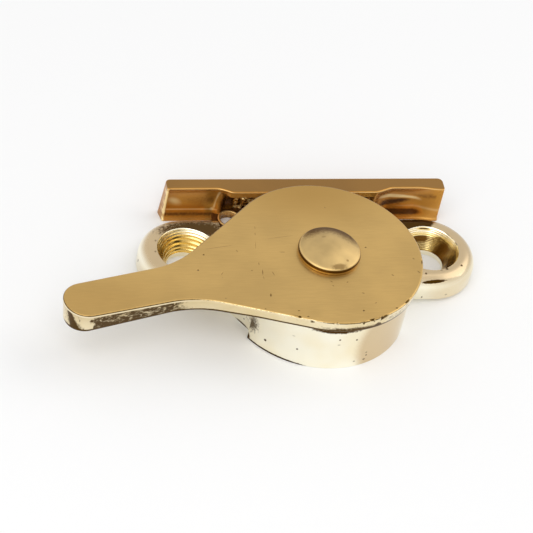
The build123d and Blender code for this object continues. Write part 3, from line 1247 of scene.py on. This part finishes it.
@dataclass(frozen=True)
class BrassFinish:
    """A brass surface: its tones, gloss, fine lines, casting pits and scratches.

    The top colour, a brushed finish that on the base also stands in for painted shade, shows on faces
    that look up, where tops are toned, and the bright tone elsewhere. Patches of painted shade darken
    places towards their own colour. The mesh's tone attribute darkens towards a dark colour where it is
    above 0, for stains and painted shade, and brightens towards a light colour where it is below, for
    rubbed places and painted highlights. The marks are pits and scratches, and on the base also painted
    shadow and reflections. Scales of noise are waves to a millimetre.
    """

    name: str
    bright: Triple
    shade: Triple
    satin: Triple = (190, 156, 95)
    tops_toned: bool = False
    up_from: float = 0.90
    up_to: float = 0.985
    grain: float = 0.0
    bright_roughness: float = 0.08
    bright_mottle: float = 0.10
    satin_roughness: float = 0.36
    lay: Lay = Lay.NONE
    line_scale: float = 14.0
    line_height: float = 0.004
    mottle: float = 0.16
    fine_scale: float = 6.0
    stain_scale: float = 2.5
    dark_span: Span = (0.12, 0.88)
    pit_scale: float = 0.55
    pit_share: float = 0.10
    pit_depth: float = 0.10
    pit_dirt: float = 0.85
    pit_sizes: Span = (0.05, 0.15)
    grime_and_shade: Triple = (70, 45, 15)
    highlight_and_wear: Triple = (255, 246, 220)
    ragged: float = 0.6
    cloud_scale: float = 0.12
    satin_fall: float = 0.96
    marks: tuple[Patch, ...] = ()
    mark_depth: float = 0.05
    painted_shades: tuple[Patch, ...] = ()
    painted_shade: Triple = (225, 200, 165)
    metal: float = 1.0

    def make(self) -> bpy.types.Material:
        """Builds the node material.

        Returns:
            The finished material.
        """
        material, desk = new_material(self.name)
        coords = desk.add("ShaderNodeTexCoord")
        here = desk.add("ShaderNodeMapping", Vector=coords.outputs["Object"], Scale=(1 / MM,) * 3).outputs[0]
        cloud = desk.noise(here, self.cloud_scale, 2.0)
        fine = desk.noise(here, self.fine_scale, 4.0, 0.6)
        stretched = desk.add("ShaderNodeMapping", Vector=here, Scale=self.lay.value).outputs[0]
        lines = desk.noise(stretched, self.line_scale, 3.0)
        pits = self._pits(desk, here)
        up = self._up(desk, coords)
        centred = desk.minus(desk.noise(here, self.stain_scale, 5.0, 0.65), 0.5)
        shaded = desk.blend(desk.ramp(cloud, 0.35, 0.7), linear(*self.bright), linear(*self.shade))
        top_colour_low = tuple(self.satin_fall * v for v in self.satin)
        grained = desk.plus(desk.times(cloud, 1 - self.grain), desk.times(lines, self.grain))
        satin = desk.blend(desk.ramp(grained, 0.3, 0.7), linear(*self.satin), linear(*top_colour_low))
        colour = desk.blend(up, shaded, satin)
        # Patches of painted shade.
        colour = desk.blend(self._patches(desk, here, centred, self.painted_shades), colour, linear(*self.painted_shade))
        # The tone attribute: above 0 it darkens, for stains and painted shade; below 0 it brightens, for
        # rubbed places and painted highlights.
        tone = desk.add("ShaderNodeAttribute", {"attribute_name": "tone"}).outputs["Fac"]
        uneven = desk.plus(tone, desk.times(centred, self.ragged))
        highlight_and_wear = desk.math("MULTIPLY", tone, -1.0, clamp=True)
        colour = desk.blend(highlight_and_wear, colour, linear(*self.highlight_and_wear))
        # Marks: pits and scratches, and on the base also painted shadow and reflections.
        marks = self._patches(desk, here, centred, self.marks)
        toned_dark = desk.times(desk.ramp(uneven, *self.dark_span), desk.ramp(tone, 0.0, 0.15))
        darkening = desk.larger(desk.times(pits, self.pit_dirt), desk.larger(toned_dark, marks))
        colour = desk.blend(darkening, colour, linear(*self.grime_and_shade))
        roughness = self._roughness(desk, up, fine)
        height = desk.minus(desk.times(lines, self.line_height), desk.times(pits, self.pit_depth))
        height = desk.plus(height, desk.times(fine, self.line_height))
        height = desk.minus(height, desk.times(marks, self.mark_depth))
        bump = desk.add("ShaderNodeBump", Height=height, Strength=1.0, Distance=MM)
        shader = desk.add("ShaderNodeBsdfPrincipled", Base_Color=colour, Metallic=self.metal,
                          Roughness=roughness, Normal=bump.outputs[0])
        desk.add("ShaderNodeOutputMaterial", Surface=shader.outputs[0])
        return material

    def _roughness(self, desk: NodeDesk, up: object, fine: bpy.types.NodeSocket) -> bpy.types.NodeSocket:
        """Roughness of both tones, each mottled about its own value by fine noise.

        Args:
            desk: Where the nodes go.
            up: Share of the top colour.
            fine: Fine noise about 0.5.

        Returns:
            The roughness socket.
        """
        values = [desk.plus(desk.times(fine, mottle), roughness - mottle / 2)
                  for mottle, roughness in ((self.bright_mottle, self.bright_roughness),
                                            (self.mottle, self.satin_roughness))]
        return desk.add("ShaderNodeMix", {"data_type": "FLOAT"}, i0=up, i2=values[0], i3=values[1]).outputs[0]

    def _up(self, desk: NodeDesk, coords: bpy.types.Node) -> object:
        """Share of the top colour, from how far a face looks up.

        Args:
            desk: Where the nodes go.
            coords: The texture coordinate node.

        Returns:
            A socket, or 0 where the finish leaves its tops untoned.
        """
        if not self.tops_toned:
            return 0.0
        split = desk.add("ShaderNodeSeparateXYZ", Vector=coords.outputs["Normal"])
        return desk.ramp(split.outputs["Z"], self.up_from, self.up_to)

    def _patches(self, desk: NodeDesk, here: bpy.types.NodeSocket, noise: bpy.types.NodeSocket,
                 patches: tuple[Patch, ...]) -> object:
        """The largest share of a few patches.

        Args:
            desk: Where the nodes go.
            here: Coordinates in millimetres.
            noise: Noise about 0, which makes the patches' edges ragged.
            patches: The patches.

        Returns:
            A socket, or 0 where there are no patches.
        """
        largest: object = 0.0
        for patch in patches:
            local = desk.add("ShaderNodeMapping", {"vector_type": "TEXTURE"}, Vector=here,
                             Location=patch.middle, Rotation=(0.0, 0.0, float(np.radians(patch.turn))),
                             Scale=patch.reach).outputs[0]
            away = desk.add("ShaderNodeVectorMath", {"operation": "LENGTH"}, i0=local).outputs["Value"]
            away = desk.plus(away, desk.times(noise, 2 * patch.ragged))
            share = desk.times(desk.ramp(away, 1.0, patch.core), patch.strength)
            largest = desk.larger(share, largest)
        return largest

    def _pits(self, desk: NodeDesk, here: bpy.types.NodeSocket) -> bpy.types.NodeSocket:
        """Small casting pits: rounded spots in some of the cells of a random pattern.

        Args:
            desk: Where the nodes go.
            here: Coordinates in millimetres.

        Returns:
            A socket that is 1 in a pit and 0 outside.
        """
        warp = desk.add("ShaderNodeTexNoise", Vector=here, Scale=2.2, Detail=2.0).outputs["Color"]
        bent = desk.add("ShaderNodeVectorMath", {"operation": "MULTIPLY_ADD"},
                        i0=warp, i1=(0.5, 0.5, 0.5), i2=here).outputs[0]
        cells = desk.add("ShaderNodeTexVoronoi", Vector=bent, Scale=self.pit_scale)
        picked = desk.add("ShaderNodeSeparateColor", Color=cells.outputs["Color"])
        chosen = desk.math("LESS_THAN", picked.outputs[0], self.pit_share)
        smallest, largest = self.pit_sizes
        size = desk.plus(desk.times(picked.outputs[1], largest - smallest), smallest)
        inside = desk.math("SUBTRACT", 1.0, desk.math("DIVIDE", cells.outputs["Distance"], size), clamp=True)
        return desk.times(chosen, desk.ramp(inside, 0.0, 0.6))


@dataclass(frozen=True)
class PlainMetal:
    """The grey steel of the two washers."""

    name: str
    colour: Triple
    roughness: float
    dulling: float = 0.8

    def make(self) -> bpy.types.Material:
        """Builds the node material.

        Returns:
            The finished material.
        """
        material, desk = new_material(self.name)
        coords = desk.add("ShaderNodeTexCoord")
        noise = desk.noise(coords.outputs["Object"], 900.0, 4.0)
        dull = tuple(self.dulling * v for v in self.colour)
        colour = desk.blend(noise, linear(*self.colour), linear(*dull))
        bump = desk.add("ShaderNodeBump", Height=noise, Strength=0.2, Distance=0.1 * MM)
        shader = desk.add("ShaderNodeBsdfPrincipled", Base_Color=colour, Metallic=1.0,
                          Roughness=self.roughness, Normal=bump.outputs[0])
        desk.add("ShaderNodeOutputMaterial", Surface=shader.outputs[0])
        return material


@dataclass(frozen=True)
class Lamp:
    """A square area lamp that faces the part. Metres and watts."""

    name: str
    place: Triple
    size: float
    power: float


@dataclass
class Studio:
    """Floor, soft lights, white surroundings and the camera at the photograph's view.

    Metres and degrees. The azimuth goes from the front to the left.
    """

    floor_half: float = 0.6
    floor_drop: float = 0.02 * MM
    floor_white: float = 0.93
    soft_light: float = 0.89
    key: Lamp = Lamp("key", (-0.25, -0.35, 0.45), 0.60, 1.5)
    fill: Lamp = Lamp("fill", (0.45, 0.10, 0.45), 0.50, 0.9)
    azimuth: float = 20.327
    elevation: float = 43.117
    roll: float = 13.626
    distance: float = 0.600
    aim: Triple = (-0.008174, -0.004524, 0.005)
    lens: float = 251.74

    def build(self) -> None:
        """Makes the whole studio."""
        self._floor()
        self._world()
        self._lamps()
        self._camera()

    def _floor(self) -> None:
        """A plain pale sheet, a hair under the part so that no two faces share a plane."""
        half = self.floor_half
        low = -self.floor_drop
        mesh = bpy.data.meshes.new("floor")
        corners = [(-half, -half, low), (half, -half, low), (half, half, low), (-half, half, low)]
        mesh.from_pydata(corners, [], [(0, 1, 2, 3)])
        floor = bpy.data.objects.new("floor", mesh)
        bpy.context.scene.collection.objects.link(floor)
        material = bpy.data.materials.new("pale_floor")
        material.use_nodes = True
        shader = material.node_tree.nodes["Principled BSDF"]
        shader.inputs["Base Color"].default_value = (*(self.floor_white,) * 3, 1.0)
        shader.inputs["Roughness"].default_value = 0.9
        shader.inputs["Specular IOR Level"].default_value = 0.0
        mesh.materials.append(material)

    def _world(self) -> None:
        """Soft light from all round, and white where camera, gloss or glass look past the part."""
        world = bpy.data.worlds.new("studio")
        bpy.context.scene.world = world
        world.use_nodes = True
        desk = NodeDesk(world.node_tree)
        desk.tree.nodes.clear()
        ray = desk.add("ShaderNodeLightPath").outputs
        seen = desk.math("ADD", ray["Is Camera Ray"], ray["Is Glossy Ray"], clamp=True)
        either = desk.math("ADD", seen, ray["Is Transmission Ray"], clamp=True)
        soft = desk.add("ShaderNodeBackground", Strength=self.soft_light)
        white = desk.add("ShaderNodeBackground", Color=WHITE, Strength=1.0)
        mix = desk.add("ShaderNodeMixShader", i0=either, i1=soft.outputs[0], i2=white.outputs[0])
        desk.add("ShaderNodeOutputWorld", Surface=mix.outputs[0])

    def _lamps(self) -> None:
        """A large soft key from the front left and a weaker fill from the right."""
        for lamp in (self.key, self.fill):
            data = bpy.data.lights.new(lamp.name, "AREA")
            data.size = lamp.size
            data.energy = lamp.power
            holder = bpy.data.objects.new(lamp.name, data)
            holder.location = lamp.place
            holder.rotation_mode = "QUATERNION"
            holder.rotation_quaternion = Vector(-np.array(lamp.place)).to_track_quat("-Z", "Y")
            bpy.context.scene.collection.objects.link(holder)

    def _camera(self) -> None:
        """The camera, from its direction, roll, distance and the point it aims at."""
        turn, rise, roll = np.radians([self.azimuth, self.elevation, self.roll])
        back = np.array([-np.cos(rise) * np.sin(turn), -np.cos(rise) * np.cos(turn), np.sin(rise)])
        level = np.array([np.cos(turn), -np.sin(turn), 0.0])
        upright = np.cross(back, level)
        right = np.cos(roll) * level + np.sin(roll) * upright
        up = np.cos(roll) * upright - np.sin(roll) * level
        matrix = np.eye(4)
        matrix[:3, 0], matrix[:3, 1], matrix[:3, 2] = right, up, back
        matrix[:3, 3] = np.array(self.aim) + self.distance * back
        data = bpy.data.cameras.new("camera")
        data.lens = self.lens
        data.sensor_width = 36.0
        data.clip_start = 0.05
        data.clip_end = 5.0
        camera = bpy.data.objects.new("camera", data)
        camera.matrix_world = Matrix(matrix.tolist())
        bpy.context.scene.collection.objects.link(camera)
        bpy.context.scene.camera = camera


def flat_marks(height: float, marks: tuple[tuple[float, ...], ...]) -> tuple[Patch, ...]:
    """Scratches and pits of a flat face.

    Args:
        height: Height of the face.
        marks: For each one x, y, half length, half width, turn in degrees, and strength.

    Returns:
        The patches.
    """
    return tuple(Patch((x, y, height), (length, width, 0.6), turn, strength)
                 for x, y, length, width, turn, strength in marks)


LEVER_MARKS = flat_marks(11.2, (
    (-17.3, -6.25, 3.3, 0.07, 10, 0.38), (-6.95, -4.1, 3.2, 0.07, 9, 0.30),
    (-10.7, -1.9, 0.45, 0.08, 82, 0.4), (-10.95, -3.35, 0.45, 0.09, 84, 0.45),
    (-11.35, -5.85, 1.1, 0.07, 80, 0.3), (-11.6, -10.1, 0.42, 0.10, 85, 0.5),
    (-11.35, -11.95, 0.8, 0.12, 84, 0.6), (-11.4, -13.25, 0.4, 0.09, 90, 0.35),
    (-9.65, -12.3, 0.6, 0.09, -74, 0.45), (-18.0, -12.2, 0.5, 0.09, 54, 0.5),
    (-13.05, -11.6, 0.22, 0.14, 0, 0.45), (-11.0, -17.1, 0.5, 0.2, 81, 0.7),
    (-7.3, -7.5, 0.7, 0.12, -5, 0.35), (-14.65, -7.15, 0.32, 0.12, -71, 0.4),
    (2.8, -23.25, 0.6, 0.1, 9, 0.7), (-12.45, -20.1, 0.2, 0.16, 0, 0.6),
    (-7.1, -20.6, 0.22, 0.17, 0, 0.6), (-7.25, -21.8, 0.22, 0.16, 0, 0.5),
    (-5.85, -21.9, 0.26, 0.18, 0, 0.7), (6.75, -6.6, 0.2, 0.18, 0, 0.75),
    (2.1, -14.4, 0.2, 0.16, 0, 0.55), (-0.5, -14.2, 0.32, 0.12, -50, 0.5),
    (-0.4, -15.2, 0.25, 0.12, -54, 0.5), (9.9, -12.95, 0.3, 0.16, -43, 0.5),
    (4.2, -16.9, 0.34, 0.14, -35, 0.5), (11.15, -18.75, 0.6, 0.24, 46, 0.95),
    (14.2, -9.3, 0.26, 0.16, -52, 0.5), (14.4, -12.3, 0.4, 0.14, -55, 0.55),
    (6.85, -21.95, 0.75, 0.26, 27, 0.95), (5.8, -19.1, 0.25, 0.14, 40, 0.5),
    (9.0, -20.3, 0.25, 0.2, 0, 0.9), (4.35, -22.8, 0.3, 0.22, 15, 0.95)))
# Painted shade on the lever's top: darker towards the back of the disc and towards the handle's tip.
LEVER_PAINTED_SHADES = (Patch((0.0, 6.5, 11.2), (22.0, 11.5, 3.0), 0, 0.9, 0.0, 0.0),
               Patch((-40.0, -18.0, 11.2), (22.0, 9.0, 3.0), 0, 0.4, 0.0, 0.0))
RIVET_MARKS = (Patch((1.0, -12.2, 12.4), (1.7, 0.7, 0.8), 0, 0.6),
               Patch((-0.45, -6.05, 13.2), (0.5, 0.35, 0.8), 0, 0.3),
               Patch((2.55, -11.0, 12.7), (0.3, 0.25, 0.6), 40, 0.5))
BASE_MARKS_AND_SHADE = (
    Patch((-10.55, -18.2, 2.15), (0.32, 0.32, 0.28)), Patch((-6.1, -21.3, 3.2), (0.26, 0.26, 0.22)),
    Patch((0.1, -22.6, 6.45), (0.24, 0.3, 0.22)), Patch((3.0, -22.3, 6.1), (0.24, 0.3, 0.22)),
    Patch((5.5, -21.5, 1.85), (0.2, 0.3, 0.2)), Patch((24.95, -4.05, 4.2), (0.36, 0.28, 0.3)),
    Patch((22.3, -4.9, 4.4), (0.34, 0.26, 0.3)), Patch((18.5, -5.85, 4.3), (0.3, 0.3, 0.3)),
    Patch((21.3, -5.2, 4.4), (0.3, 0.18, 0.3), 0, 0.5),
    Patch((-28.0, 1.7, 1.75), (0.3, 0.3, 0.45), 0, 0.8),
    Patch((-28.2, -0.05, 2.2), (0.3, 0.26, 0.4), 0, 0.8),
    Patch((-25.25, 2.25, 4.4), (0.22, 0.3, 0.3), 0, 0.55),
    Patch((-25.7, -0.25, 4.4), (0.22, 0.26, 0.3), 0, 0.55),
    Patch((0.15, -22.6, 5.3), (0.3, 0.3, 0.16), 0, 0.45),
    Patch((5.4, -21.6, 2.5), (0.24, 0.3, 0.2), 0, 0.55),
    Patch((5.25, -21.65, 1.0), (0.34, 0.3, 0.26), 0, 0.7),
    Patch((3.5, -22.2, 1.1), (0.3, 0.3, 0.16), 0, 0.55),
    Patch((-7.0, -20.85, 5.75), (0.5, 0.3, 0.12), 20, 0.35),
    Patch((22.1, -7.75, 1.35), (0.3, 0.3, 0.2), 0, 0.5),
    # Painted shadow and reflections, not marks: a dark blotch at the drum's left end, the shadow under the
    # disc, the dark line along the drum's foot, shade under the drum's left piece and in its crease, dark
    # reflections on the backs of both lugs, and a dark reflected line on the right lug's front.
    Patch((-12.4, -15.4, 3.6), (1.3, 2.6, 2.2), 0, 0.9, 0.8, 0.3),
    Patch((-1.0, -22.6, 8.45), (6.5, 1.6, 0.75), 0, 1.0, 0.5, 0.6),
    Patch((-9.9, -18.8, 0.0), (8.5, 2.5, 0.36), -42, 1.0, 0.3, 0.75),
    Patch((-13.1, -13.0, 0.6), (1.9, 0.4, 0.45), -58, 1.0, 0.3),
    Patch((-12.6, -15.65, 0.5), (0.45, 0.5, 0.9), 0, 1.0, 0.4),
    Patch((17.6, 6.4, 4.0), (5.2, 2.9, 2.2), 0, 1.0, 0.05, 0.9),
    Patch((-18.5, 4.6, 4.4), (6.9, 2.5, 1.6), 0, 0.95, 0.7, 0.6),
    Patch((19.7, -7.22, 3.8), (2.4, 0.36, 0.36), 6, 1.0, 0.25, 0.75))
# Painted shade: the drum's right part, standing for a darker reflection, and both lugs.
BASE_PAINTED_SHADES = (Patch((9.3, -19.5, 4.0), (7.4, 7.0, 9.0), 0, 0.92, 0.05, 0.7),
              Patch((24.0, -6.0, 1.5), (7.5, 6.0, 3.0), 0, 0.45, 0.05, 0.5),
              Patch((-24.5, -3.0, 1.5), (7.0, 7.0, 3.0), 0, 0.35, 0.05, 0.5))

FINISHES = {
    # On the base, the tan of faces that look up is painted shade as well as a brushed finish, making its tops
    # darker than its polished sides.
    "base": BrassFinish("polished_brass", (255, 251, 234), (250, 240, 210), satin=(202, 179, 142),
                        tops_toned=True, satin_roughness=0.28, up_from=0.4, up_to=0.93, line_height=0.001,
                        mottle=0.02, grime_and_shade=(72, 47, 8), marks=BASE_MARKS_AND_SHADE, painted_shades=BASE_PAINTED_SHADES,
                        painted_shade=(216, 194, 156)),
    "countersinks": BrassFinish("turned_brass", (252, 231, 168), (236, 206, 132), grime_and_shade=(106, 74, 30),
                                bright_roughness=0.2),
    "lever": BrassFinish("satin_brass", (246, 232, 197), (232, 211, 162), satin=(197, 162, 100),
                         tops_toned=True, satin_fall=0.93, up_from=0.55, up_to=0.8, grain=0.35,
                         lay=Lay.ALONG_X, pit_share=0.17, grime_and_shade=(84, 60, 20), ragged=1.5,
                         marks=LEVER_MARKS, painted_shades=LEVER_PAINTED_SHADES, painted_shade=(172, 136, 76)),
    "keep": BrassFinish("old_brass", (204, 146, 60), (180, 120, 42), satin=(144, 104, 46), tops_toned=True,
                        grime_and_shade=(84, 50, 16), highlight_and_wear=(255, 226, 164), bright_roughness=0.2, metal=0.6),
    "pivot_rivet": BrassFinish("rivet_brass", (205, 180, 125), (190, 160, 105), satin=(198, 168, 113),
                               tops_toned=True, satin_fall=0.92, satin_roughness=0.42, up_from=0.3,
                               up_to=0.5, cloud_scale=0.35, grime_and_shade=(92, 62, 18), highlight_and_wear=(236, 200, 130),
                               marks=RIVET_MARKS),
    "plain_washer": PlainMetal("washer_steel", (170, 170, 168), 0.35),
    "spring_washer": PlainMetal("spring_steel", (120, 120, 122), 0.4),
}


def dress(frame: dict) -> Materials:
    """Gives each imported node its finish.

    Args:
        frame: The loaded frame.

    Returns:
        The finishes by name.
    """
    materials = {name: finish.make() for name, finish in FINISHES.items()}
    for name, node in frame["nodes"].items():
        for slot in node.material_slots:
            slot.material = materials[name]
        log.info("%s dressed as %s", name, materials[name].name)
    return materials


def main() -> None:
    """Loads the frame, dresses it, and builds the new pieces and the studio."""
    logging.basicConfig(level=logging.INFO)
    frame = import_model()
    bpy.context.scene.view_settings.view_transform = "Standard"
    materials = dress(frame)
    Lever().build(materials)
    PivotRivet().build(materials)
    Keep().build(materials)
    Countersinks().build(materials)
    Studio().build()


if __name__ == "__main__":
    main()
